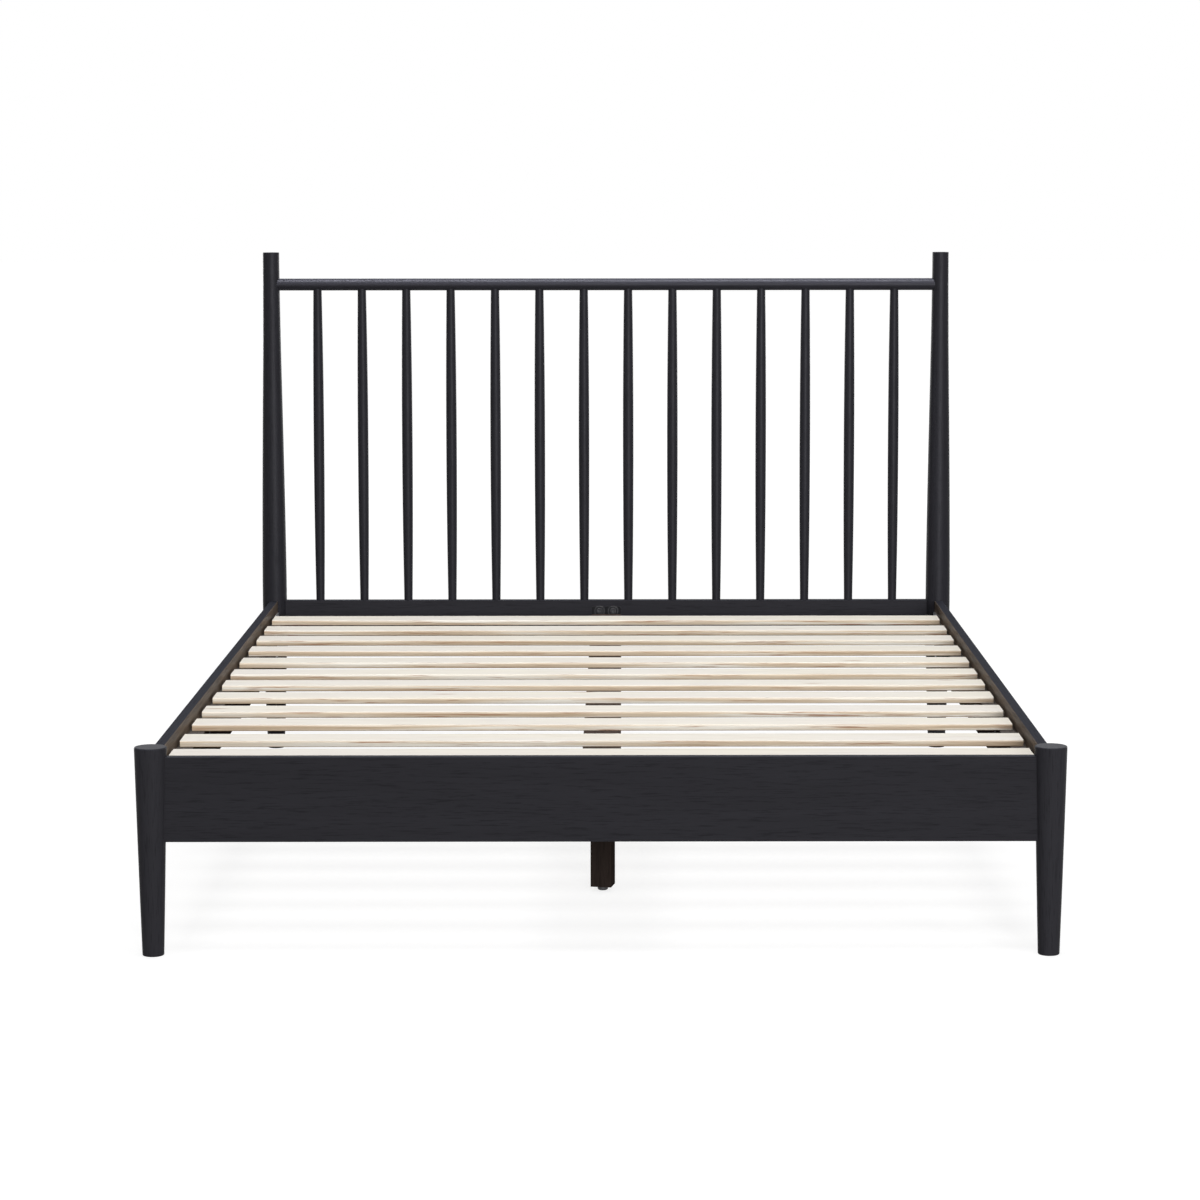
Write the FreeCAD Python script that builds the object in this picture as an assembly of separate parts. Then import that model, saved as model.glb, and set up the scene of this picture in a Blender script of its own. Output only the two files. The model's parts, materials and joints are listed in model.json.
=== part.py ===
import FreeCAD, Part
import math
import os

from FreeCAD import Rotation, Vector

# A spindle bed frame of black-stained wood with a loose slat deck.
# Millimetres, +X to the sleeper's right as seen from the foot end, +Y towards the headboard, +Z up.
# The origin lies on the floor at the middle of the four legs.

# Mattress and the room left around it
mattress_width = 1524.0
mattress_length = 2032.0
mattress_side_gap = 12.5
mattress_end_gap = 10.5

# The four rails; the headboard's lower rail is not as deep as the others
rail_thickness = 19.0
rail_height = 150.0
head_rail_height = 100.0
rail_clear_height = 202.0
rail_edge_radius = 1.5

# Foot legs, turned, with a light outward bow at mid height
leg_floor_d = 38.0
leg_top_d = 57.0
leg_bow = 0.35
leg_rise = 17.0
leg_edge_radius = 2.0

# Head posts, widest at the top of the rails
post_height = 1172.0
post_floor_d = 39.5
post_wide_d = 57.0
post_top_d = 38.2
post_bow = 1.5
post_edge_radius = 1.5
post_upper_height_shares = (0.17, 0.29, 0.40, 0.52, 0.63, 0.75, 0.88)
post_upper_swell_shares = (0.91, 0.80, 0.67, 0.51, 0.34, 0.18, 0.06)

# Joints between rails and posts: a shallow housing takes the whole board, then a tenon
fit = 0.1
housing_depth = 1.5
tenon_thickness = 9.0
tenon_shoulder = 20.0
tenon_length = 15.0

# Round top rail of the headboard
top_rail_d = 28.0
top_rail_drop = 75.0
top_rail_tenon_d = 16.0
top_rail_tenon_length = 9.0
bored_seat_depth = 0.5

# Spindles
spindle_count = 14
spindle_end_gap = 108.0
spindle_end_d = 19.6
spindle_mid_d = 25.0
spindle_foot_tenon_d = 12.0
spindle_foot_tenon_length = 25.0
spindle_top_tenon_d = 10.0
spindle_top_tenon_length = 12.0

# Slat deck
slat_count = 12
slat_width = 76.0
slat_thickness = 12.0
slat_edge_radius = 4.5
slat_under_radius = 1.5
slat_recess = 20.0
slat_end_gap = 5.5
slat_head_gap = 123.0
slat_foot_gap = 103.5
slat_shift_shares = (0, -0.044, -0.029, -0.023, -0.077, -0.089, 0, 0.026, -0.013, 0.059, -0.016, 0)

# Battens inside the side rails
cleat_width = 30.0
cleat_height = 30.0
cleat_edge_radius = 1.5
cleat_bracket_gap = 5.0
cleat_screw_count = 6
cleat_screw_end = 70.0

# Beam under the slats
beam_width = 70.0
beam_thickness = 30.0
beam_end_gap = 8.0
beam_edge_radius = 2.0

# Folded plate that hangs each end of the beam
hanger_thickness = 3.0
hanger_rise = 18.0
hanger_shelf = 42.0
hanger_bend_radius = 2.0
hanger_corner_radius = 6.0
hanger_bolt_spacing = 32.0
hanger_bolt_drop = 11.0
hanger_screw_spacing = 36.0
hanger_screw_inset = 16.0

# Legs under the beam
centre_leg_width = 40.0
centre_leg_edge_radius = 1.5
centre_leg_clear = 9.0
centre_leg_place_share = 0.5
centre_leg_turns_deg = (-11.2, 5.0, -3.0)
centre_leg_names = ("front", "middle", "rear")

# Levelling feet that screw into the centre legs
foot_base_d = 20.0
foot_base_flat_d = 13.0
foot_gap = 0.3
foot_stud_d = 7.4
foot_stud_length = 26.0

# Corner brackets: a wing on the side rail and an ear turned 45 degrees onto the round post
bracket_thickness = 3.0
bracket_wing_length = 56.0
bracket_wing_height = 99.0
bracket_wing_top_gap = 26.0
bracket_ear_length = 27.0
bracket_ear_height = 66.0
bracket_ear_drop = 21.0
bracket_corner_radius = 5.0
bracket_bolt_spacing = 34.0
bracket_screw_inset = 11.0
bracket_screw_edge = 16.0

# Machine bolts with a hexagon socket
bolt_d = 8.0
bolt_head_d = 14.0
bolt_head_height = 4.5
bolt_head_bevel = 1.0
bolt_socket_across = 5.0
bolt_socket_depth = 2.6
washer_d = 23.0
washer_thickness = 1.6
bolt_reach = 11.0

# Threaded inserts
insert_d = 12.0
insert_length = 13.0
insert_recess = 1.0
beam_insert_length = 18.0

# Wood screws
screw_d = 4.2
screw_head_d = 8.0
screw_head_height = 2.4
bracket_screw_length = 14.0
beam_screw_length = 18.0
cleat_screw_length = 42.0

# Stud between each centre leg and the beam
stud_d = 8.0
stud_leg_length = 40.0

# Places worked out from the sizes above
inner_half_width = mattress_width / 2 + mattress_side_gap
inner_half_length = mattress_length / 2 + mattress_end_gap
axis_x = inner_half_width + rail_thickness / 2
axis_y = inner_half_length + rail_thickness / 2
rail_top_z = rail_clear_height + rail_height
head_rail_low_z = rail_top_z - head_rail_height
leg_height = rail_top_z + leg_rise
slat_top_z = rail_top_z - slat_recess
deck_z = slat_top_z - slat_thickness
slat_half_length = inner_half_width - slat_end_gap
beam_underside_z = deck_z - beam_thickness
bolt_shank_d = bolt_d - 2 * fit
bolt_hole_d = bolt_d + 2 * fit
screw_hole_d = screw_d + 2 * fit
top_rail_z = post_height - top_rail_drop
spindle_half_span = axis_x - spindle_end_gap
spindle_pitch = 2 * spindle_half_span / (spindle_count - 1)
slat_run = 2 * inner_half_length - slat_head_gap - slat_foot_gap - slat_width
slat_pitch = slat_run / (slat_count - 1)
centre_leg_pitch = axis_y * centre_leg_place_share
cut_reach = max(leg_top_d, post_wide_d)
root_half = math.sqrt(0.5)
parallel_share = 0.999
inward = Vector(-root_half, -root_half, 0)
origin = Vector(0, 0, 0)
along_x = Vector(1, 0, 0)
along_y = Vector(0, 1, 0)
along_z = Vector(0, 0, 1)


def smooth_side(points):
    # one smooth curve through a few points of a turned outline
    curve = Part.BSplineCurve()
    curve.interpolate(Points=points)
    return curve.toShape()


def turned_solid(edges):
    # a solid of revolution about the vertical axis
    return Part.Face(Part.Wire(edges)).revolve(origin, along_z, 360)


def bowed_radius(z, height, floor_d, top_d, bow):
    # radius of a bowed taper at height z
    share = z / height
    straight = (floor_d + (top_d - floor_d) * share) / 2
    return straight + 4 * bow * share * (1 - share)


def leg_radius(z):
    return bowed_radius(z, leg_height, leg_floor_d, leg_top_d, leg_bow)


def post_radius(z):
    return bowed_radius(z, rail_top_z, post_floor_d, post_wide_d, post_bow)


def seat_distance(radius):
    # distance from a post's axis to the flat floor of its rail housing
    return math.sqrt(radius ** 2 - (rail_thickness / 2) ** 2) - housing_depth


post_seat = seat_distance(post_radius(min(rail_clear_height, head_rail_low_z)))
leg_seat = seat_distance(leg_radius(rail_clear_height))
top_rail_seat = math.sqrt((post_top_d / 2) ** 2 - (top_rail_d / 2) ** 2) - bored_seat_depth
spindle_seat_drop = math.sqrt((top_rail_d / 2) ** 2 - (spindle_end_d / 2) ** 2) - bored_seat_depth

bracket_top_z = rail_top_z - bracket_wing_top_gap
ear_top_z = bracket_top_z - bracket_ear_drop
ear_mid_z = ear_top_z - bracket_ear_height / 2


def block(low, high):
    size = high - low
    return Part.makeBox(size.x, size.y, size.z, low)


def rod(diameter, length, base, direction):
    return Part.makeCylinder(diameter / 2, length, base, direction)


def cut_all(shape, tools):
    return shape.cut(Part.Compound(tools))


def long_edges(shape, direction):
    # straight edges that run along the given direction
    chosen = []
    for edge in shape.Edges:
        if len(edge.Vertexes) == 2:
            run = edge.Vertexes[1].Point - edge.Vertexes[0].Point
            if abs(run.normalize().dot(direction)) > parallel_share:
                chosen.append(edge)
    return chosen


def edges_at(shape, direction, z):
    # long edges that lie at height z
    return [edge for edge in long_edges(shape, direction) if abs(edge.CenterOfMass.z - z) < fit]


def rim_edges(shape, z):
    # closed round edges that lie flat at height z
    chosen = []
    for edge in shape.Edges:
        box = edge.BoundBox
        if box.ZLength < fit and abs(box.ZMin - z) < fit and edge.isClosed():
            chosen.append(edge)
    return chosen


def eased_block(low, high, direction, radius):
    board = block(low, high)
    return board.makeFillet(radius, long_edges(board, direction))


def placed(shape, point, outward):
    # a fastener drawn with its seat at zero and its head towards +Z, set on a seat
    copy = shape.copy()
    copy.Placement = FreeCAD.Placement(point, Rotation(along_z, outward))
    return copy


def to_left(shape):
    return shape.mirror(origin, along_x)


def to_foot(shape):
    return shape.mirror(origin, along_y)


def save(name, shapes):
    solids = []
    for shape in shapes:
        solids.extend(shape.Solids)
    result = solids[0] if len(solids) == 1 else Part.Compound(solids)
    result.exportStep("parts/" + name + ".step")


# Fasteners, each drawn once

def hex_prism(across, depth, base_z):
    corner = across / math.sqrt(3)
    points = []
    for step in range(7):
        angle = math.radians(60 * step)
        points.append(Vector(corner * math.cos(angle), corner * math.sin(angle), base_z))
    return Part.Face(Part.makePolygon(points)).extrude(along_z * depth)


def socket_bolt(shank_length):
    head = rod(bolt_head_d, bolt_head_height, origin, along_z)
    head = head.makeChamfer(bolt_head_bevel, rim_edges(head, bolt_head_height))
    shank = rod(bolt_shank_d, shank_length, along_z * -shank_length, along_z)
    recess = hex_prism(bolt_socket_across, bolt_socket_depth, bolt_head_height - bolt_socket_depth)
    return head.fuse(shank).cut(recess).removeSplitter()


def washer():
    ring = rod(washer_d, washer_thickness, origin, along_z)
    return ring.cut(rod(bolt_hole_d, washer_thickness, origin, along_z))


def pan_screw(length):
    head = rod(screw_head_d, screw_head_height, origin, along_z)
    shank = rod(screw_d, length, along_z * -length, along_z)
    return head.fuse(shank).removeSplitter()


def countersunk_screw(length):
    head = Part.makeCone(screw_d / 2, screw_head_d / 2, screw_head_height, along_z * -screw_head_height)
    shank = rod(screw_d, length - screw_head_height, along_z * -length, along_z)
    return head.fuse(shank).removeSplitter()


def countersunk_hole(length):
    cone = Part.makeCone(
        screw_hole_d / 2, screw_head_d / 2 + fit, screw_head_height, along_z * -screw_head_height
    )
    return cone.fuse(rod(screw_hole_d, length, along_z * -length, along_z))


def threaded_insert(length):
    # a sleeve below its mouth at zero
    sleeve = rod(insert_d, length, along_z * -length, along_z)
    return sleeve.cut(rod(bolt_d, length, along_z * -length, along_z))


def blind_hole(diameter, depth):
    return rod(diameter + 2 * fit, depth, along_z * -depth, along_z)


# Corner of a post or leg, drawn at the head end's right corner

def post_axis(z):
    return Vector(axis_x, axis_y, z)


def ear_back_distance(radius_at):
    # the ear rests on the widest part of the taper that it crosses
    return radius_at(ear_top_z)


def corner_bolt_places(radius_at):
    # where the corner bolts' axes meet the ear's face that touches the post
    out = ear_back_distance(radius_at)
    return [
        post_axis(ear_mid_z + side * bracket_bolt_spacing / 2) + inward * out
        for side in (-1, 1)
    ]


def corner_cuts(radius_at, seat, end_rail_low_z):
    # housings, mortise and insert holes that the rails and the bracket need in a post
    half = rail_thickness / 2 + fit
    half_tenon = tenon_thickness / 2 + fit
    side_low_z = rail_clear_height - fit
    low_z = end_rail_low_z - fit
    high_z = rail_top_z + fit
    side_housing = block(
        Vector(axis_x - half, axis_y - cut_reach, side_low_z), Vector(axis_x + half, axis_y - seat, high_z)
    )
    end_housing = block(
        Vector(axis_x - cut_reach, axis_y - half, low_z), Vector(axis_x - seat, axis_y + half, high_z)
    )
    mortise = block(
        Vector(axis_x - seat, axis_y - half_tenon, low_z + tenon_shoulder),
        Vector(axis_x - seat + tenon_length + fit, axis_y + half_tenon, high_z - tenon_shoulder),
    )
    tools = [side_housing, end_housing, mortise]
    for place in corner_bolt_places(radius_at):
        hole = blind_hole(insert_d, insert_recess + insert_length)
        tools.append(placed(hole, place, inward))
    return tools


def leg_solid():
    half_height = leg_height / 2
    foot = Vector(leg_floor_d / 2, 0, 0)
    middle = Vector(leg_radius(half_height), 0, half_height)
    top = Vector(leg_top_d / 2, 0, leg_height)
    crown = along_z * leg_height
    turned = turned_solid([
        Part.makeLine(origin, foot), smooth_side([foot, middle, top]),
        Part.makeLine(top, crown), Part.makeLine(crown, origin),
    ])
    rims = rim_edges(turned, 0) + rim_edges(turned, leg_height)
    return turned.makeFillet(leg_edge_radius, rims)


def post_solid():
    half_rail = rail_top_z / 2
    foot = Vector(post_floor_d / 2, 0, 0)
    middle = Vector(post_radius(half_rail), 0, half_rail)
    widest = Vector(post_wide_d / 2, 0, rail_top_z)
    top = Vector(post_top_d / 2, 0, post_height)
    points = [widest]
    for height_share, swell_share in zip(post_upper_height_shares, post_upper_swell_shares):
        radius = (post_top_d + (post_wide_d - post_top_d) * swell_share) / 2
        points.append(Vector(radius, 0, rail_top_z + (post_height - rail_top_z) * height_share))
    points.append(top)
    curve = Part.BSplineCurve()
    curve.interpolate(Points=points, InitialTangent=along_z, FinalTangent=along_z)
    crown = along_z * post_height
    turned = turned_solid([
        Part.makeLine(origin, foot), smooth_side([foot, middle, widest]), curve.toShape(),
        Part.makeLine(top, crown), Part.makeLine(crown, origin),
    ])
    rims = rim_edges(turned, 0) + rim_edges(turned, post_height)
    return turned.makeFillet(post_edge_radius, rims)


def foot_leg():
    leg = leg_solid()
    leg.translate(post_axis(0))
    return cut_all(leg, corner_cuts(leg_radius, leg_seat, rail_clear_height))


def head_post():
    post = post_solid()
    post.translate(post_axis(0))
    tools = corner_cuts(post_radius, post_seat, head_rail_low_z)
    level = post_axis(top_rail_z)
    housing_mouth = level - along_x * cut_reach
    tools.append(rod(top_rail_d + 2 * fit, cut_reach - top_rail_seat, housing_mouth, along_x))
    tenon_mouth = level - along_x * top_rail_seat
    tools.append(rod(top_rail_tenon_d + 2 * fit, top_rail_tenon_length + fit, tenon_mouth, along_x))
    return cut_all(post, tools)


# Headboard and footboard

def spindle_x(index):
    return index * spindle_pitch - spindle_half_span


def hanger_bolt_z():
    return deck_z + hanger_rise - hanger_bolt_drop


def end_rail(seat, low_z):
    # a board between two posts at the head end, with a tenon at each end
    half = axis_x - seat
    y_low = axis_y - rail_thickness / 2
    y_high = axis_y + rail_thickness / 2
    board = eased_block(
        Vector(-half, y_low, low_z), Vector(half, y_high, rail_top_z), along_x, rail_edge_radius
    )
    tenon = block(
        Vector(-half - tenon_length, axis_y - tenon_thickness / 2, low_z + tenon_shoulder),
        Vector(half + tenon_length, axis_y + tenon_thickness / 2, rail_top_z - tenon_shoulder),
    )
    holes = []
    for side in (-1, 1):
        mouth = Vector(side * hanger_bolt_spacing / 2, y_low, hanger_bolt_z())
        holes.append(placed(blind_hole(insert_d, insert_length), mouth, along_y * -1))
    return cut_all(board.fuse(tenon), holes).removeSplitter()


def headboard_lower_rail():
    socket = blind_hole(spindle_foot_tenon_d, spindle_foot_tenon_length + fit)
    sockets = []
    for index in range(spindle_count):
        mouth = Vector(spindle_x(index), axis_y, rail_top_z)
        sockets.append(placed(socket, mouth, along_z))
    return cut_all(end_rail(post_seat, head_rail_low_z), sockets)


def headboard_top_rail():
    half = axis_x - top_rail_seat
    start = Vector(-half, axis_y, top_rail_z)
    rail = rod(top_rail_d, 2 * half, start, along_x)
    tenon_start = start - along_x * top_rail_tenon_length
    rail = rail.fuse(rod(top_rail_tenon_d, 2 * (half + top_rail_tenon_length), tenon_start, along_x))
    sockets = []
    for index in range(spindle_count):
        seat = Vector(spindle_x(index), axis_y, top_rail_z - spindle_seat_drop)
        sockets.append(rod(spindle_end_d + 2 * fit, top_rail_d, seat - along_z * top_rail_d, along_z))
        sockets.append(rod(spindle_top_tenon_d + 2 * fit, spindle_top_tenon_length + fit, seat, along_z))
    return cut_all(rail, sockets)


def spindle(index):
    low_z = rail_top_z
    high_z = top_rail_z - spindle_seat_drop
    end_radius = spindle_end_d / 2
    foot_radius = spindle_foot_tenon_d / 2
    top_radius = spindle_top_tenon_d / 2
    foot_z = low_z - spindle_foot_tenon_length
    tip_z = high_z + spindle_top_tenon_length
    belly = smooth_side([
        Vector(end_radius, 0, low_z),
        Vector(spindle_mid_d / 2, 0, (low_z + high_z) / 2),
        Vector(end_radius, 0, high_z),
    ])
    lower = Part.makePolygon([
        Vector(0, 0, foot_z), Vector(foot_radius, 0, foot_z),
        Vector(foot_radius, 0, low_z), Vector(end_radius, 0, low_z),
    ])
    upper = Part.makePolygon([
        Vector(end_radius, 0, high_z), Vector(top_radius, 0, high_z),
        Vector(top_radius, 0, tip_z), Vector(0, 0, tip_z), Vector(0, 0, foot_z),
    ])
    turned = turned_solid(lower.Edges + [belly] + upper.Edges)
    turned.translate(Vector(spindle_x(index), axis_y, 0))
    return turned


# Side rails, battens and slats

def bracket_bend_y(radius_at):
    # where the ear leaves the wing, on the side rail's inner face
    return axis_y + rail_thickness / 2 - ear_back_distance(radius_at) / root_half


def bracket_screw_places(radius_at):
    # on the wing's inner face, seen from the middle of the bed
    near = bracket_bend_y(radius_at) - bracket_screw_edge
    far = bracket_bend_y(radius_at) - bracket_wing_length + bracket_screw_inset
    high = bracket_top_z - bracket_screw_inset
    low = bracket_top_z - bracket_wing_height + bracket_screw_inset
    face_x = inner_half_width - bracket_thickness
    return [Vector(face_x, y, z) for y in (near, far) for z in (low, high)]


def cleat_end_y(radius_at):
    return bracket_bend_y(radius_at) - bracket_wing_length - cleat_bracket_gap


def cleat_screw_places():
    first = cleat_screw_end - cleat_end_y(leg_radius)
    last = cleat_end_y(post_radius) - cleat_screw_end
    step = (last - first) / (cleat_screw_count - 1)
    face_x = inner_half_width - cleat_width
    middle_z = deck_z - cleat_height / 2
    return [Vector(face_x, first + step * index, middle_z) for index in range(cleat_screw_count)]


def side_rail():
    rail = eased_block(
        Vector(inner_half_width, leg_seat - axis_y, rail_clear_height),
        Vector(inner_half_width + rail_thickness, axis_y - post_seat, rail_top_z),
        along_y, rail_edge_radius,
    )
    holes = []
    pilot = blind_hole(screw_d, bracket_screw_length + fit)
    for place in bracket_screw_places(post_radius):
        holes.append(placed(pilot, place, along_x * -1))
    for place in bracket_screw_places(leg_radius):
        holes.append(to_foot(placed(pilot, place, along_x * -1)))
    for place in cleat_screw_places():
        holes.append(placed(blind_hole(screw_d, cleat_screw_length + fit), place, along_x * -1))
    return cut_all(rail, holes)


def slat_cleat():
    cleat = eased_block(
        Vector(inner_half_width - cleat_width, -cleat_end_y(leg_radius), deck_z - cleat_height),
        Vector(inner_half_width, cleat_end_y(post_radius), deck_z),
        along_y, cleat_edge_radius,
    )
    hole = countersunk_hole(cleat_width)
    return cut_all(cleat, [placed(hole, place, along_x * -1) for place in cleat_screw_places()])


def slat(index):
    far_y = inner_half_length - slat_head_gap - slat_pitch * (index - slat_shift_shares[index])
    board = block(
        Vector(-slat_half_length, far_y - slat_width, deck_z), Vector(slat_half_length, far_y, slat_top_z)
    )
    board = board.makeFillet(slat_edge_radius, edges_at(board, along_x, slat_top_z))
    return board.makeFillet(slat_under_radius, edges_at(board, along_x, deck_z))


# Corner brackets, drawn at the head end's right corner

def corner_bracket(radius_at):
    bend_y = bracket_bend_y(radius_at)
    outer_x = inner_half_width
    inner_x = inner_half_width - bracket_thickness
    low_z = bracket_top_z - bracket_wing_height
    wing = block(Vector(inner_x, bend_y - bracket_wing_length, low_z), Vector(outer_x, bend_y, bracket_top_z))
    wing = wing.makeFillet(bracket_corner_radius, [
        edge for edge in long_edges(wing, along_x) if edge.CenterOfMass.y < bend_y - bracket_corner_radius
    ])
    ear_run = Vector(-root_half, root_half, 0)
    root = Vector(outer_x, bend_y, ear_top_z - bracket_ear_height)
    tip = root + ear_run * bracket_ear_length
    skin = inward * bracket_thickness
    bend_inner = Vector(inner_x, bend_y - bracket_thickness * math.tan(math.pi / 8), root.z)
    section = Part.makePolygon([root, tip, tip + skin, bend_inner, root])
    ear = Part.Face(section).extrude(along_z * bracket_ear_height)
    ear = ear.makeFillet(bracket_corner_radius, [
        edge for edge in long_edges(ear, inward) if edge.CenterOfMass.y > tip.y - bracket_thickness
    ])
    plate = wing.cut(ear).fuse(ear)
    holes = []
    for place in bracket_screw_places(radius_at):
        holes.append(rod(screw_hole_d, bracket_thickness, place, along_x))
    for place in corner_bolt_places(radius_at):
        holes.append(rod(bolt_hole_d, bracket_thickness, place, inward))
    return cut_all(plate, holes).removeSplitter()


def corner_bolts(radius_at):
    bolt = socket_bolt(bracket_thickness + insert_recess + bolt_reach)
    skin = inward * bracket_thickness
    return [placed(bolt, place + skin, inward) for place in corner_bolt_places(radius_at)]


def corner_inserts(radius_at):
    sleeve = threaded_insert(insert_length)
    return [placed(sleeve, place - inward * insert_recess, inward) for place in corner_bolt_places(radius_at)]


def bracket_screws(radius_at):
    screw = pan_screw(bracket_screw_length)
    return [placed(screw, place, along_x * -1) for place in bracket_screw_places(radius_at)]


# Centre beam, its hangers and its legs

def hanger_screw_places():
    y = inner_half_length - hanger_thickness - hanger_screw_inset - beam_end_gap
    z = beam_underside_z - hanger_thickness
    return [Vector(side * hanger_screw_spacing / 2, y, z) for side in (-1, 1)]


def hanger_bolt_places():
    y = inner_half_length - hanger_thickness
    return [Vector(side * hanger_bolt_spacing / 2, y, hanger_bolt_z()) for side in (-1, 1)]


def centre_leg_y(index):
    return (index - 1) * centre_leg_pitch


def centre_beam():
    end_y = inner_half_length - hanger_thickness - beam_end_gap
    beam = eased_block(
        Vector(-beam_width / 2, -end_y, beam_underside_z), Vector(beam_width / 2, end_y, deck_z),
        along_y, beam_edge_radius,
    )
    holes = []
    for index in range(len(centre_leg_names)):
        mouth = Vector(0, centre_leg_y(index), beam_underside_z)
        holes.append(placed(blind_hole(insert_d, beam_insert_length), mouth, along_z * -1))
    pilot = blind_hole(screw_d, beam_screw_length + fit)
    for place in hanger_screw_places():
        hole = placed(pilot, place, along_z * -1)
        holes.append(hole)
        holes.append(to_foot(hole))
    return cut_all(beam, holes)


def beam_hanger():
    # an upright plate on the rail and a shelf under the beam, folded from one strip
    back_y = inner_half_length
    front_y = back_y - hanger_thickness
    shelf_y = front_y - hanger_shelf
    top_z = deck_z + hanger_rise
    low_z = beam_underside_z - hanger_thickness
    outer_radius = hanger_bend_radius + hanger_thickness
    bend_y = front_y - hanger_bend_radius
    bend_z = beam_underside_z + hanger_bend_radius
    slope = root_half

    def arc(radius):
        return Part.Arc(
            Vector(0, bend_y + radius, bend_z),
            Vector(0, bend_y + radius * slope, bend_z - radius * slope),
            Vector(0, bend_y, bend_z - radius),
        ).toShape()

    outer_arc = arc(outer_radius)
    inner_arc = arc(hanger_bend_radius)
    edges = [
        Part.makeLine(Vector(0, back_y, top_z), Vector(0, back_y, bend_z)),
        outer_arc,
        Part.makeLine(Vector(0, bend_y, low_z), Vector(0, shelf_y, low_z)),
        Part.makeLine(Vector(0, shelf_y, low_z), Vector(0, shelf_y, beam_underside_z)),
        Part.makeLine(Vector(0, shelf_y, beam_underside_z), Vector(0, bend_y, beam_underside_z)),
        inner_arc,
        Part.makeLine(Vector(0, front_y, bend_z), Vector(0, front_y, top_z)),
        Part.makeLine(Vector(0, front_y, top_z), Vector(0, back_y, top_z)),
    ]
    profile = Part.Wire(Part.__sortEdges__(edges))
    plate = Part.Face(profile).extrude(along_x * beam_width)
    plate.translate(along_x * (-beam_width / 2))
    plate = plate.makeFillet(hanger_corner_radius, edges_at(plate, along_y, top_z))
    holes = [rod(bolt_hole_d, hanger_thickness, place, along_y) for place in hanger_bolt_places()]
    holes += [rod(screw_hole_d, hanger_thickness, place, along_z) for place in hanger_screw_places()]
    return cut_all(plate, holes)


def centre_leg(index):
    half = centre_leg_width / 2
    leg = eased_block(
        Vector(-half, -half, centre_leg_clear), Vector(half, half, beam_underside_z),
        along_z, centre_leg_edge_radius,
    )
    stud_hole = placed(blind_hole(stud_d, stud_leg_length + fit), along_z * beam_underside_z, along_z)
    foot_hole = placed(blind_hole(insert_d, foot_stud_length + fit), along_z * centre_leg_clear, along_z * -1)
    leg = cut_all(leg, [stud_hole, foot_hole])
    leg.rotate(origin, along_z, centre_leg_turns_deg[index])
    leg.translate(along_y * centre_leg_y(index))
    return leg


def leg_stud(index):
    base = Vector(0, centre_leg_y(index), beam_underside_z - stud_leg_length)
    return rod(bolt_shank_d, stud_leg_length + beam_insert_length, base, along_z)


def levelling_foot(index):
    base_height = centre_leg_clear - foot_gap
    side_radius = foot_base_d / 2
    flat_radius = foot_base_flat_d / 2
    turn = side_radius - flat_radius
    stud_radius = foot_stud_d / 2
    tip_z = centre_leg_clear + foot_stud_length - foot_gap
    underside = Part.Arc(
        Vector(flat_radius, 0, 0),
        Vector(flat_radius + turn * root_half, 0, turn * (1 - root_half)),
        Vector(side_radius, 0, turn),
    ).toShape()
    rest = Part.makePolygon([
        Vector(side_radius, 0, turn), Vector(side_radius, 0, base_height),
        Vector(stud_radius, 0, base_height), Vector(stud_radius, 0, tip_z),
        Vector(0, 0, tip_z), origin, Vector(flat_radius, 0, 0),
    ])
    foot = turned_solid([underside] + rest.Edges)
    foot.translate(along_y * centre_leg_y(index))
    return foot


def write_headboard():
    post = head_post()
    save("headboard_post_right", [post])
    save("headboard_post_left", [to_left(post)])
    save("headboard_lower_rail", [headboard_lower_rail()])
    save("headboard_top_rail", [headboard_top_rail()])
    for index in range(spindle_count):
        save("spindle_%02d" % (index + 1), [spindle(index)])


def write_footboard():
    leg = to_foot(foot_leg())
    save("foot_leg_right", [leg])
    save("foot_leg_left", [to_left(leg)])
    save("foot_rail", [to_foot(end_rail(leg_seat, rail_clear_height))])


def write_sides_and_deck():
    rail = side_rail()
    cleat = slat_cleat()
    screw = countersunk_screw(cleat_screw_length)
    screws = [placed(screw, place, along_x * -1) for place in cleat_screw_places()]
    save("side_rail_right", [rail])
    save("side_rail_left", [to_left(rail)])
    save("slat_cleat_right", [cleat])
    save("slat_cleat_left", [to_left(cleat)])
    save("cleat_screws", screws + [to_left(item) for item in screws])
    for index in range(slat_count):
        save("slat_%02d" % (index + 1), [slat(index)])


def write_corners():
    head = corner_bracket(post_radius)
    foot = to_foot(corner_bracket(leg_radius))
    save("corner_bracket_head_right", [head])
    save("corner_bracket_head_left", [to_left(head)])
    save("corner_bracket_foot_right", [foot])
    save("corner_bracket_foot_left", [to_left(foot)])
    bolts = corner_bolts(post_radius) + [to_foot(item) for item in corner_bolts(leg_radius)]
    screws = bracket_screws(post_radius) + [to_foot(item) for item in bracket_screws(leg_radius)]
    save("corner_bolts", bolts + [to_left(item) for item in bolts])
    save("corner_bracket_screws", screws + [to_left(item) for item in screws])


def write_inserts():
    corner = corner_inserts(post_radius) + [to_foot(item) for item in corner_inserts(leg_radius)]
    sleeve = threaded_insert(insert_length)
    plate = along_y * hanger_thickness
    rail = [placed(sleeve, place + plate, along_y * -1) for place in hanger_bolt_places()]
    long_sleeve = threaded_insert(beam_insert_length)
    beam = []
    for index in range(len(centre_leg_names)):
        mouth = Vector(0, centre_leg_y(index), beam_underside_z)
        beam.append(placed(long_sleeve, mouth, along_z * -1))
    left = [to_left(item) for item in corner]
    save("threaded_inserts", corner + left + rail + [to_foot(item) for item in rail] + beam)


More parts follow.
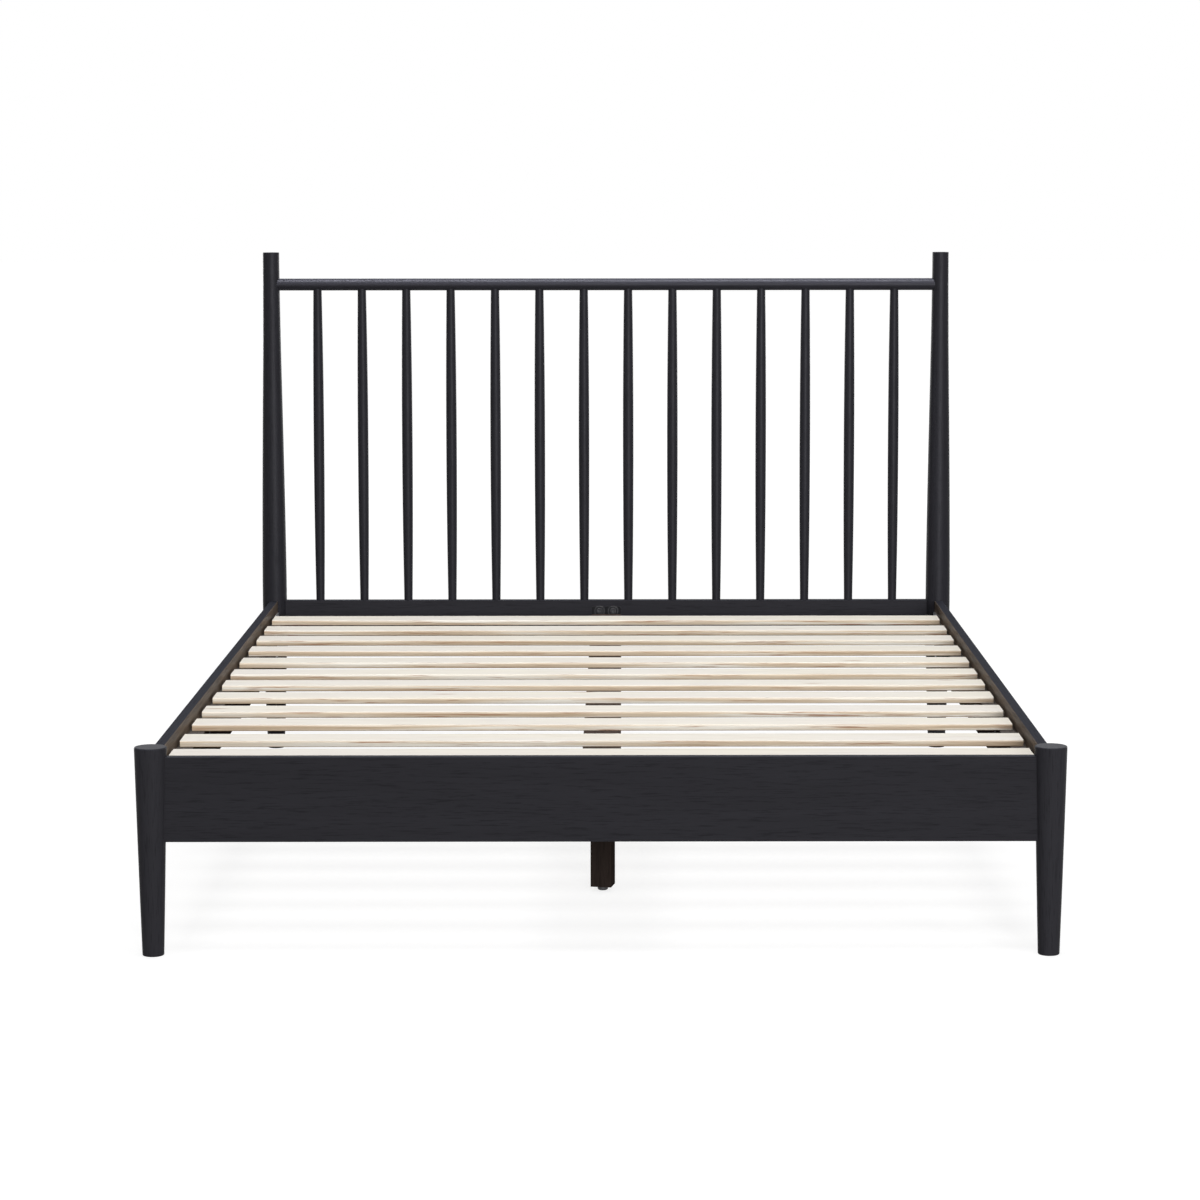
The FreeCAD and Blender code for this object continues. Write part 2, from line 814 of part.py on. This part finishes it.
def write_beam():
    hanger = beam_hanger()
    save("centre_beam", [centre_beam()])
    save("beam_bracket_head", [hanger])
    save("beam_bracket_foot", [to_foot(hanger)])
    bolt = socket_bolt(washer_thickness + hanger_thickness + bolt_reach)
    ring = washer()
    screw = pan_screw(beam_screw_length)
    bolts = []
    rings = []
    for place in hanger_bolt_places():
        bolts.append(placed(bolt, place - along_y * washer_thickness, along_y * -1))
        rings.append(placed(ring, place, along_y * -1))
    screws = [placed(screw, place, along_z * -1) for place in hanger_screw_places()]
    save("beam_bracket_bolts", bolts + [to_foot(item) for item in bolts])
    save("beam_bracket_washers", rings + [to_foot(item) for item in rings])
    save("beam_screws", screws + [to_foot(item) for item in screws])


def write_centre_legs():
    studs = []
    sleeves = []
    sleeve = threaded_insert(foot_stud_length)
    for index, name in enumerate(centre_leg_names):
        save("centre_leg_" + name, [centre_leg(index)])
        save("levelling_foot_" + name, [levelling_foot(index)])
        studs.append(leg_stud(index))
        mouth = Vector(0, centre_leg_y(index), centre_leg_clear)
        sleeves.append(placed(sleeve, mouth, along_z * -1))
    save("hanger_bolts", studs)
    save("foot_inserts", sleeves)


os.makedirs("parts", exist_ok=True)
write_headboard()
write_footboard()
write_sides_and_deck()
write_corners()
write_inserts()
write_beam()
write_centre_legs()
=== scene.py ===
import bpy
import json
import math
from mathutils import Euler, Matrix, Vector


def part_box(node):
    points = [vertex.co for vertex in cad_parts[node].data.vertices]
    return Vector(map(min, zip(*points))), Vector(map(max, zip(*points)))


# Looks for a black spindle bed frame with a pale slat deck.
# Metres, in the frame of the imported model: +X right, +Y towards the headboard, +Z up.

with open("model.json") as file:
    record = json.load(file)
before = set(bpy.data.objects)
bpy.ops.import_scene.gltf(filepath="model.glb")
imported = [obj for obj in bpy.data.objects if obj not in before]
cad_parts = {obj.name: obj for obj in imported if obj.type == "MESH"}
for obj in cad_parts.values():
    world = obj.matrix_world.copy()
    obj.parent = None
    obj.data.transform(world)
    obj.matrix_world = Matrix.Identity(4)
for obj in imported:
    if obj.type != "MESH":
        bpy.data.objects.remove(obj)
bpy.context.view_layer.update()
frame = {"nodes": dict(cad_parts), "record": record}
nodes = frame["nodes"]

# Camera, fitted to the photograph: its size, focal length and axis are in its pixels
photo_size = 1200
photo_focal = 3299.1
axis_column = 630
axis_row = 492
camera_place = (0.0370, -6.7068, 1.3772)
camera_pitch_deg = 5.675
camera_yaw_deg = -0.142
camera_roll_deg = -0.039
level_view_deg = 90
sensor_width = 36.0
camera_far_limit = 200.0

# The turned pieces of the headboard, by the start of their names
turned_headboard = ("headboard_post", "headboard_top_rail", "spindle")

# Steel pieces with dull black paint
dull_steel = ("beam_bracket_head", "beam_bracket_foot", "cleat_screws")

# Lamps: place, target, width, height, watts and spread in degrees
lamps = {
    "top_softbox": ((0.0, -0.65, 6.0), (0.0, -0.65, 0.3), 4.5, 4.5, 300.0, 180),
    "front_softbox": ((3.0, -18.0, 3.6), (0.0, 0.0, 0.5), 6.5, 5.0, 2150.0, 180),
    "right_softbox": ((3.6, -4.5, 1.6), (0.2, 0.0, 0.5), 1.0, 2.0, 40.0, 180),
    "head_softbox": ((1.2, -3.0, 0.75), (0.0, 1.04, 0.85), 2.2, 0.6, 150.0, 180),
    "rail_strip": ((0.0, 0.88, 1.75), (0.0, 1.04, 1.1), 1.9, 0.2, 12.0, 60),
    "rear_left_softbox": ((-6.0, 10.0, 1.2), (0.0, 0.0, 0.6), 3.0, 2.0, 170.0, 180),
    "rear_right_softbox": ((6.0, 10.0, 1.2), (0.0, 0.0, 0.6), 3.0, 2.0, 170.0, 180),
    "back_strip": ((0.0, 3.2, 3.2), (0.0, 1.04, 1.0), 2.4, 0.5, 4.0, 120),
}

# Two lamps are cool, and each lights one group alone: its name, and how its pieces' names start
flagged_lamps = {
    "head_softbox": ("turned_headboard", turned_headboard),
    "rail_strip": ("top_rail_alone", ("headboard_top_rail",)),
}
cool_light = (0.90, 0.90, 1.0)

# World and floor
ambient_level = 0.04
background_level = 1.0
paper_white = (1.0, 1.0, 1.0, 1.0)
floor_half_size = 40.0
floor_glow = 0.80
floor_fade_near = 2.5
floor_fade_far = 7.0
floor_colour = (0.25, 0.25, 0.25, 1.0)
floor_seen_colour = (0.32, 0.32, 0.32, 1.0)

# Colours, as linear values
black_low = (0.0252, 0.0246, 0.0286)
black_high = (0.0292, 0.0286, 0.0336)
# Painted sheen: the black wood's upward faces get a lighter, bluer colour that stands in for light from
# above
painted_top_sheen = (0.0290, 0.0300, 0.0380)
# Painted reflection: the mottled brown on the side rails' inner faces stands in for the slats' warm light
# on them; shadow_brown is painted shadow below the cleat line
painted_reflection_low = (0.072, 0.055, 0.043)
painted_reflection_high = (0.148, 0.113, 0.086)
shadow_brown = (0.010, 0.006, 0.005)
under_low = (0.024, 0.018, 0.016)
under_high = (0.036, 0.027, 0.023)
# Painted light: a lighter colour on the cleats' upward faces
cleat_top_painted_light = (0.110, 0.098, 0.090)
slat_cream = (0.87, 0.825, 0.735)
slat_cool = (0.86, 0.82, 0.76)
slat_tan = (0.70, 0.575, 0.43)
slat_deep_tan = (0.56, 0.43, 0.30)
# Painted shade: the dark brown on the slats' faces that look down
slat_underside_shade = (0.30, 0.19, 0.11)
slat_streak = (0.36, 0.19, 0.11)
steel_black = (0.015, 0.015, 0.017)
# Painted highlights: lighter colours on the rounded edges of the black steel plate and fasteners
plate_painted_highlight = (0.09, 0.09, 0.10)
fastener_painted_highlight = (0.55, 0.55, 0.58)
zinc_grey = (0.62, 0.63, 0.65)
plastic_black = (0.022, 0.022, 0.024)

# Painted light and shade: these pieces get lighter or darker copies of the black stain, beside the plain
# black boards, standing in for how light falls on them
headboard_painted_shade = 0.45
leg_painted_light = 1.12
head_rail_painted_light = 1.12

# Painted light and shade: these pieces get lighter or darker copies of the under wood's colour, beside
# the centre legs
beam_painted_light = 2.5
cleat_painted_shade = 0.7

# Gloss, as a specular level
board_gloss = 0.010
leg_gloss = 0.017
headboard_gloss = 0.045
under_gloss = 0.005
cleat_gloss = 0.0
slat_gloss = 0.12
plate_gloss = 0.04
fastener_gloss = 0.07

# Roughness of each finish, where it is smooth and where it is rough
board_finish = (0.38, 0.48)
leg_finish = (0.30, 0.38)
headboard_finish = (0.38, 0.46)

# Roughness of the side rails' own faces, as greys, because it is mixed like a colour
rail_top_roughness = (0.70, 0.70, 0.70)
rail_inner_roughness = (0.34, 0.34, 0.34)
rail_shadow_roughness = (1.0, 1.0, 1.0)

# Roughness of the even surfaces
under_roughness = 0.95
slat_roughness = 0.7

# The side rails' inner faces are dark below this height, where the cleats shade them
cleat_line = 0.300

# Radius of the rounded edges on black steel, which get a painted highlight
edge_round = 0.0013

# How far each pattern is squeezed along the grain
wood_squeeze = 0.05
slat_squeeze = 0.02
slat_slow_squeeze = 0.3
slat_streak_squeeze = 0.03
knot_squeeze = 0.14

# Noise patterns: scale, detail and roughness
pore_noise = (420.0, 6.0, 0.65)
black_band_noise = (46.0, 5.0, 0.6)
painted_reflection_noise = (60.0, 4.0, 0.6)
under_band_noise = (40.0, 4.0, 0.6)
slat_fine_noise = (520.0, 5.0, 0.6)
slat_band_noise = (110.0, 4.0, 0.6)
slat_slow_noise = (7.0, 2.0, 0.5)
slat_streak_noise = (260.0, 3.0, 0.55)
peel_noise = (900.0, 3.0, 0.5)
spangle_noise = (260.0, 3.0, 0.5)
pebble_noise = (1600.0, 2.0, 0.5)
knot_scale = 26.0

# Ramps, as stops of a place and a value
pore_stops = [(0.36, 0.72), (0.47, 1.0)]
painted_reflection_stops = [(0.38, painted_reflection_low), (0.62, painted_reflection_high)]
under_pore_stops = [(0.36, 0.66), (0.50, 1.0)]
slat_top_stops = [(0.40, slat_cream), (0.60, slat_cool)]
slat_edge_stops = [(0.36, slat_deep_tan), (0.47, slat_tan), (0.62, slat_cream)]
slat_up_stops = [(0.45, 0.0), (0.97, 1.0)]
slat_shade_stops = [(0.10, 0.0), (0.60, 1.0)]
slat_fine_stops = [(0.30, 0.90), (0.55, 1.0)]
slat_streak_stops = [(0.595, 0.0), (0.675, 0.85)]
streak_on_top_stops = [(0.0, 1.0), (0.9, 0.25)]
knot_stops = [(0.03, 1.0), (0.12, 0.0)]
knot_choice_stops = [(0.62, 0.0), (0.64, 1.0)]
peel_stops = [(0.3, 0.42), (0.7, 0.55)]
spangle_stops = [(0.3, 0.30), (0.7, 0.46)]
pebble_stops = [(0.3, 0.45), (0.7, 0.6)]

# Places of two stops whose values come from the piece
black_band_places = (0.30, 0.72)
under_band_places = (0.32, 0.70)
sheen_places = (0.35, 0.65)
painted_highlight_places = (0.75, 0.97)

# Where an added stop starts, before it gets its own place
new_stop_place = 0.5

# Bumps: strength and depth
board_relief = (0.30, 0.0003)
headboard_relief = (0.12, 0.0003)
slat_relief = (0.25, 0.0004)
steel_relief = (0.25, 0.0003)
plastic_relief = (0.2, 0.0002)

# The grain starts this much further on in each next piece
grain_step = (0.37, 0.71, 0.53)

# Numbers of the axes
along_x = 0
along_z = 2

# Numbers of a mix node's sockets for colours: factor, first and second colour, and result
mix_inputs = (0, 6, 7)
mix_result = 2


def feed(tree, socket, value):
    # links the socket to another one, or sets its plain number or colour
    if isinstance(value, bpy.types.NodeSocket):
        tree.links.new(value, socket)
    elif hasattr(value, "__len__"):
        socket.default_value = (*value, 1.0)
    else:
        socket.default_value = value


def new_material(name):
    material = bpy.data.materials.new(name)
    material.use_nodes = True
    tree = material.node_tree
    return material, tree, tree.nodes["Principled BSDF"]


def surface_space(tree, kind):
    # Object gives the place on the piece, Normal the way its surface faces
    return tree.nodes.new("ShaderNodeTexCoord").outputs[kind]


def grain_space(tree, axis, offset, squeeze):
    # object coordinates squeezed along the grain, so that any noise draws long fibres
    mapping = tree.nodes.new("ShaderNodeMapping")
    sizes = [1.0, 1.0, 1.0]
    sizes[axis] = squeeze
    mapping.inputs["Scale"].default_value = sizes
    mapping.inputs["Location"].default_value = offset
    tree.links.new(surface_space(tree, "Object"), mapping.inputs["Vector"])
    return mapping.outputs["Vector"]


def noise(tree, vector, pattern):
    node = tree.nodes.new("ShaderNodeTexNoise")
    for name, value in zip(("Scale", "Detail", "Roughness"), pattern):
        node.inputs[name].default_value = value
    tree.links.new(vector, node.inputs["Vector"])
    return node.outputs["Fac"]


def ramp(tree, factor, stops):
    # a colour ramp from stops of a place and a colour or number
    node = tree.nodes.new("ShaderNodeValToRGB")
    elements = node.color_ramp.elements
    while len(elements) < len(stops):
        elements.new(new_stop_place)
    for element, (place, colour) in zip(elements, stops):
        element.position = place
        value = colour if hasattr(colour, "__len__") else (colour,) * 3
        element.color = (*value, 1.0)
    tree.links.new(factor, node.inputs["Fac"])
    return node.outputs["Color"]


def mix_colours(tree, factor, first, second, mode="MIX"):
    node = tree.nodes.new("ShaderNodeMix")
    node.data_type = "RGBA"
    node.blend_type = mode
    for number, value in zip(mix_inputs, (factor, first, second)):
        feed(tree, node.inputs[number], value)
    return node.outputs[mix_result]


def multiply_colours(tree, first, second):
    return mix_colours(tree, 1.0, first, second, "MULTIPLY")


def bump(tree, height, relief):
    node = tree.nodes.new("ShaderNodeBump")
    for name, value in zip(("Strength", "Distance"), relief):
        node.inputs[name].default_value = value
    tree.links.new(height, node.inputs["Height"])
    return node.outputs["Normal"]


def calculation(tree, operation, first, second):
    node = tree.nodes.new("ShaderNodeMath")
    node.operation = operation
    feed(tree, node.inputs[0], first)
    feed(tree, node.inputs[1], second)
    return node


def component(tree, vector, axis):
    split = tree.nodes.new("ShaderNodeSeparateXYZ")
    tree.links.new(vector, split.inputs[0])
    return split.outputs[axis]


def facing(tree, axis, sign=1.0):
    # 1 where the piece's own surface faces along the given axis, 0 where it faces across or away
    turn = calculation(tree, "MULTIPLY", component(tree, surface_space(tree, "Normal"), axis), sign)
    turn.use_clamp = True
    return turn.outputs[0]


def below(tree, height):
    # 1 under the given height above the floor, 0 over it
    level = component(tree, surface_space(tree, "Object"), along_z)
    return calculation(tree, "LESS_THAN", level, height).outputs[0]


def scaled(colour, share):
    return tuple(value * share for value in colour)


def two_stops(places, first, second):
    return list(zip(places, (first, second)))


def black_wood(name, axis, offset, finish, gloss, share=1.0, relief=board_relief, inner_sign=0):
    # satin black stain over open grain; inner_sign is the way along X that a side rail's inner face
    # looks, which gets a painted brown reflection of the slats and a painted shadow below the cleat line
    material, tree, shader = new_material(name)
    smooth, rough = finish
    fibre = grain_space(tree, axis, offset, wood_squeeze)
    pores = noise(tree, fibre, pore_noise)
    bands = noise(tree, fibre, black_band_noise)
    band_stops = two_stops(black_band_places, scaled(black_low, share), scaled(black_high, share))
    tone = ramp(tree, bands, band_stops)
    up = facing(tree, along_z)
    # painted sheen: upward faces take the lighter, bluer colour
    tone = mix_colours(tree, up, tone, scaled(painted_top_sheen, share))
    sheen = ramp(tree, pores, two_stops(sheen_places, rough, smooth))
    if inner_sign:
        # painted reflection of the slats on the inner face, with painted shadow below the cleat line
        inner = facing(tree, along_x, inner_sign)
        low = below(tree, cleat_line)
        brown = ramp(tree, noise(tree, fibre, painted_reflection_noise), painted_reflection_stops)
        brown = mix_colours(tree, low, brown, shadow_brown)
        tone = mix_colours(tree, inner, tone, brown)
        sheen = mix_colours(tree, up, sheen, rail_top_roughness)
        inner_sheen = mix_colours(tree, low, rail_inner_roughness, rail_shadow_roughness)
        sheen = mix_colours(tree, inner, sheen, inner_sheen)
    colour = multiply_colours(tree, tone, ramp(tree, pores, pore_stops))
    tree.links.new(colour, shader.inputs["Base Color"])
    tree.links.new(sheen, shader.inputs["Roughness"])
    shader.inputs["Specular IOR Level"].default_value = gloss
    tree.links.new(bump(tree, pores, relief), shader.inputs["Normal"])
    return material


def under_wood(name, axis, offset, share=1.0, gloss=under_gloss, top=None):
    # the cleats, the beam and the centre legs have a thin dull coat that lets the brown through
    material, tree, shader = new_material(name)
    fibre = grain_space(tree, axis, offset, wood_squeeze)
    pores = noise(tree, fibre, pore_noise)
    bands = noise(tree, fibre, under_band_noise)
    band_stops = two_stops(under_band_places, scaled(under_low, share), scaled(under_high, share))
    tone = ramp(tree, bands, band_stops)
    # painted light: upward faces get the lighter top colour
    if top:
        tone = mix_colours(tree, facing(tree, along_z), tone, top)
    colour = multiply_colours(tree, tone, ramp(tree, pores, under_pore_stops))
    tree.links.new(colour, shader.inputs["Base Color"])
    shader.inputs["Roughness"].default_value = under_roughness
    shader.inputs["Specular IOR Level"].default_value = gloss
    tree.links.new(bump(tree, pores, board_relief), shader.inputs["Normal"])
    return material


def knots(tree, offset):
    # a few small long spots, each in its own cell, with most cells left clear
    cells = tree.nodes.new("ShaderNodeTexVoronoi")
    cells.inputs["Scale"].default_value = knot_scale
    tree.links.new(grain_space(tree, along_x, offset, knot_squeeze), cells.inputs["Vector"])
    spot = ramp(tree, cells.outputs["Distance"], knot_stops)
    lot = tree.nodes.new("ShaderNodeSeparateColor")
    tree.links.new(cells.outputs["Color"], lot.inputs[0])
    return multiply_colours(tree, spot, ramp(tree, lot.outputs[0], knot_choice_stops))


def slat_wood(name, offset):
    # pale sawn slat: cream top, tan edges with brown streaks, small knots, and a darker brown underside
    # that is painted shade
    material, tree, shader = new_material(name)
    fibre = grain_space(tree, along_x, offset, slat_squeeze)
    fine = noise(tree, fibre, slat_fine_noise)
    bands = noise(tree, fibre, slat_band_noise)
    slow = noise(tree, grain_space(tree, along_x, offset, slat_slow_squeeze), slat_slow_noise)
    streaks = noise(tree, grain_space(tree, along_x, offset, slat_streak_squeeze), slat_streak_noise)
    up = ramp(tree, facing(tree, along_z), slat_up_stops)
    # painted shade: faces that look down get the dark brown
    painted_shade_mask = ramp(tree, facing(tree, along_z, -1.0), slat_shade_stops)
    tone = mix_colours(tree, up, ramp(tree, bands, slat_edge_stops), ramp(tree, slow, slat_top_stops))
    tone = mix_colours(tree, painted_shade_mask, tone, slat_underside_shade)
    tone = multiply_colours(tree, tone, ramp(tree, fine, slat_fine_stops))
    mark = ramp(tree, streaks, slat_streak_stops)
    mark = multiply_colours(tree, mark, ramp(tree, up, streak_on_top_stops))
    mark = mix_colours(tree, 1.0, mark, knots(tree, offset), "LIGHTEN")
    tree.links.new(mix_colours(tree, mark, tone, slat_streak), shader.inputs["Base Color"])
    shader.inputs["Roughness"].default_value = slat_roughness
    shader.inputs["Specular IOR Level"].default_value = slat_gloss
    tree.links.new(bump(tree, fine, slat_relief), shader.inputs["Normal"])
    return material


def painted_steel(name, gloss, highlight_colour):
    # black paint with orange peel, with a painted highlight: a lighter colour where the rounded normal
    # leaves the true face
    material, tree, shader = new_material(name)
    peel = noise(tree, surface_space(tree, "Object"), peel_noise)
    tree.links.new(ramp(tree, peel, peel_stops), shader.inputs["Roughness"])
    shader.inputs["Specular IOR Level"].default_value = gloss
    rounded = tree.nodes.new("ShaderNodeBevel")
    rounded.inputs["Radius"].default_value = edge_round
    true_face = tree.nodes.new("ShaderNodeNewGeometry")
    match = tree.nodes.new("ShaderNodeVectorMath")
    match.operation = "DOT_PRODUCT"
    tree.links.new(rounded.outputs[0], match.inputs[0])
    tree.links.new(true_face.outputs["Normal"], match.inputs[1])
    colour = ramp(tree, match.outputs["Value"], two_stops(painted_highlight_places, highlight_colour, steel_black))
    tree.links.new(colour, shader.inputs["Base Color"])
    tree.links.new(bump(tree, peel, steel_relief), shader.inputs["Normal"])
    return material


def zinc_steel(name):
    material, tree, shader = new_material(name)
    spangle = noise(tree, surface_space(tree, "Object"), spangle_noise)
    tree.links.new(ramp(tree, spangle, spangle_stops), shader.inputs["Roughness"])
    feed(tree, shader.inputs["Base Color"], zinc_grey)
    shader.inputs["Metallic"].default_value = 1.0
    return material


def moulded_plastic(name):
    material, tree, shader = new_material(name)
    pebble = noise(tree, surface_space(tree, "Object"), pebble_noise)
    feed(tree, shader.inputs["Base Color"], plastic_black)
    tree.links.new(ramp(tree, pebble, pebble_stops), shader.inputs["Roughness"])
    tree.links.new(bump(tree, pebble, plastic_relief), shader.inputs["Normal"])
    return material


def dress(node, material):
    mesh = nodes[node].data
    mesh.materials.clear()
    mesh.materials.append(material)


def grain_axis(node):
    # the grain runs along the longest side of the piece
    low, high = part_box(node)
    size = high - low
    return max(range(3), key=lambda axis: size[axis])


def stained_piece(node, offset):
    # turned pieces come smoother from the lathe, and the side rails' inner faces get a painted brown
    # reflection of the slats
    name = "black_wood_" + node
    axis = grain_axis(node)
    # the beam, cleats, headboard, foot legs and head rail get lighter or darker copies of their stain:
    # painted light and shade
    if node == "centre_beam":
        return under_wood(name, axis, offset, beam_painted_light)
    if node.startswith("slat_cleat"):
        return under_wood(name, axis, offset, cleat_painted_shade, cleat_gloss, cleat_top_painted_light)
    if node.startswith("centre_leg"):
        return under_wood(name, axis, offset)
    if node.startswith("side_rail"):
        sign = 1.0 if node.endswith("left") else -1.0
        return black_wood(name, axis, offset, board_finish, board_gloss, inner_sign=sign)
    if node.startswith(turned_headboard):
        finish = (headboard_finish, headboard_gloss, headboard_painted_shade, headboard_relief)
        return black_wood(name, axis, offset, *finish)
    if node.startswith("foot_leg"):
        return black_wood(name, axis, offset, leg_finish, leg_gloss, leg_painted_light)
    share = head_rail_painted_light if node == "headboard_lower_rail" else 1.0
    return black_wood(name, axis, offset, board_finish, board_gloss, share)


def dress_frame():
    slots = {part["node"]: part["material_slot"] for part in frame["record"]["subparts"]}
    dull = painted_steel("black_steel_plate", plate_gloss, plate_painted_highlight)
    by_slot = {
        "black_steel": painted_steel("black_steel_fastener", fastener_gloss, fastener_painted_highlight),
        "zinc_steel": zinc_steel("zinc_steel"),
        "foot_plastic": moulded_plastic("foot_plastic"),
    }
    for index, node in enumerate(sorted(nodes)):
        offset = [step * index for step in grain_step]
        slot = slots[node]
        if node in dull_steel:
            dress(node, dull)
        elif slot == "slat_wood":
            dress(node, slat_wood("slat_wood_" + node, offset))
        elif slot == "black_wood":
            dress(node, stained_piece(node, offset))
        else:
            dress(node, by_slot[slot])


def background_share(tree):
    # 1 for camera, glossy and transmission rays, which see the white background
    path = tree.nodes.new("ShaderNodeLightPath")
    either = calculation(tree, "MAXIMUM", path.outputs["Is Camera Ray"], path.outputs["Is Glossy Ray"])
    return calculation(tree, "MAXIMUM", either.outputs[0], path.outputs["Is Transmission Ray"]).outputs[0]


def mix_for_background(tree, lit, seen, out):
    # the lit shader for light, the seen one for the rays that show the background
    mix = tree.nodes.new("ShaderNodeMixShader")
    tree.links.new(background_share(tree), mix.inputs[0])
    tree.links.new(lit.outputs[0], mix.inputs[1])
    tree.links.new(seen.outputs[0], mix.inputs[2])
    tree.links.new(mix.outputs[0], out.inputs["Surface"])


def plain_shader(tree, kind, colour):
    node = tree.nodes.new(kind)
    node.inputs["Color"].default_value = colour
    return node


def make_world():
    world = bpy.data.worlds.new("studio")
    world.use_nodes = True
    bpy.context.scene.world = world
    tree = world.node_tree
    tree.nodes.clear()
    seen = plain_shader(tree, "ShaderNodeBackground", paper_white)
    seen.inputs["Strength"].default_value = background_level
    lit = plain_shader(tree, "ShaderNodeBackground", paper_white)
    lit.inputs["Strength"].default_value = ambient_level
    mix_for_background(tree, lit, seen, tree.nodes.new("ShaderNodeOutputWorld"))


def floor_material():
    # the floor glows for the camera, so that it reads as white paper but keeps a faint shadow
    material = bpy.data.materials.new("floor_paper")
    material.use_nodes = True
    tree = material.node_tree
    tree.nodes.clear()
    paper = plain_shader(tree, "ShaderNodeBsdfDiffuse", floor_colour)
    shaded = plain_shader(tree, "ShaderNodeBsdfDiffuse", floor_seen_colour)
    glow = tree.nodes.new("ShaderNodeEmission")
    reach = tree.nodes.new("ShaderNodeVectorMath")
    reach.operation = "LENGTH"
    fade = tree.nodes.new("ShaderNodeMapRange")
    limits = {"From Min": floor_fade_near, "From Max": floor_fade_far, "To Min": floor_glow}
    for name, value in limits.items():
        fade.inputs[name].default_value = value
    tree.links.new(surface_space(tree, "Object"), reach.inputs[0])
    tree.links.new(reach.outputs["Value"], fade.inputs["Value"])
    tree.links.new(fade.outputs[0], glow.inputs["Strength"])
    seen = tree.nodes.new("ShaderNodeAddShader")
    tree.links.new(shaded.outputs[0], seen.inputs[0])
    tree.links.new(glow.outputs[0], seen.inputs[1])
    mix_for_background(tree, paper, seen, tree.nodes.new("ShaderNodeOutputMaterial"))
    return material


def make_floor():
    mesh = bpy.data.meshes.new("floor")
    half = floor_half_size
    corners = [(-half, -half, 0), (half, -half, 0), (half, half, 0), (-half, half, 0)]
    mesh.from_pydata(corners, [], [(0, 1, 2, 3)])
    mesh.materials.append(floor_material())
    floor = bpy.data.objects.new("floor", mesh)
    bpy.context.scene.collection.objects.link(floor)


def area_light(name, place, target, width, height, watts, spread_deg):
    data = bpy.data.lights.new(name, "AREA")
    data.shape = "RECTANGLE"
    data.size = width
    data.size_y = height
    data.energy = watts
    data.spread = math.radians(spread_deg)
    lamp = bpy.data.objects.new(name, data)
    lamp.visible_camera = False
    bpy.context.scene.collection.objects.link(lamp)
    lamp.location = place
    lamp.rotation_euler = (Vector(target) - Vector(place)).to_track_quat("-Z", "Y").to_euler()
    return lamp


def flag_lamp(lamp, group, name_starts):
    # the lamp lights only the pieces whose names start so
    lit_pieces = bpy.data.collections.new(group)
    for node in nodes:
        if node.startswith(name_starts):
            lit_pieces.objects.link(nodes[node])
    lamp.light_linking.receiver_collection = lit_pieces


def make_lights():
    for name, values in lamps.items():
        lamp = area_light(name, *values)
        if name in flagged_lamps:
            lamp.data.color = cool_light
            flag_lamp(lamp, *flagged_lamps[name])


def make_camera():
    data = bpy.data.cameras.new("camera")
    data.sensor_width = sensor_width
    data.lens = photo_focal / photo_size * sensor_width
    data.shift_x = (photo_size / 2 - axis_column) / photo_size
    data.shift_y = (axis_row - photo_size / 2) / photo_size
    data.clip_end = camera_far_limit
    camera = bpy.data.objects.new("camera", data)
    bpy.context.scene.collection.objects.link(camera)
    tilt = math.radians(level_view_deg - camera_pitch_deg)
    turn = Euler((tilt, 0.0, math.radians(camera_yaw_deg))).to_matrix().to_4x4()
    roll = Matrix.Rotation(math.radians(camera_roll_deg), 4, "Z")
    camera.matrix_world = Matrix.Translation(camera_place) @ turn @ roll
    bpy.context.scene.camera = camera


dress_frame()
make_world()
make_floor()
make_lights()
make_camera()
bpy.context.scene.view_settings.view_transform = "Standard"
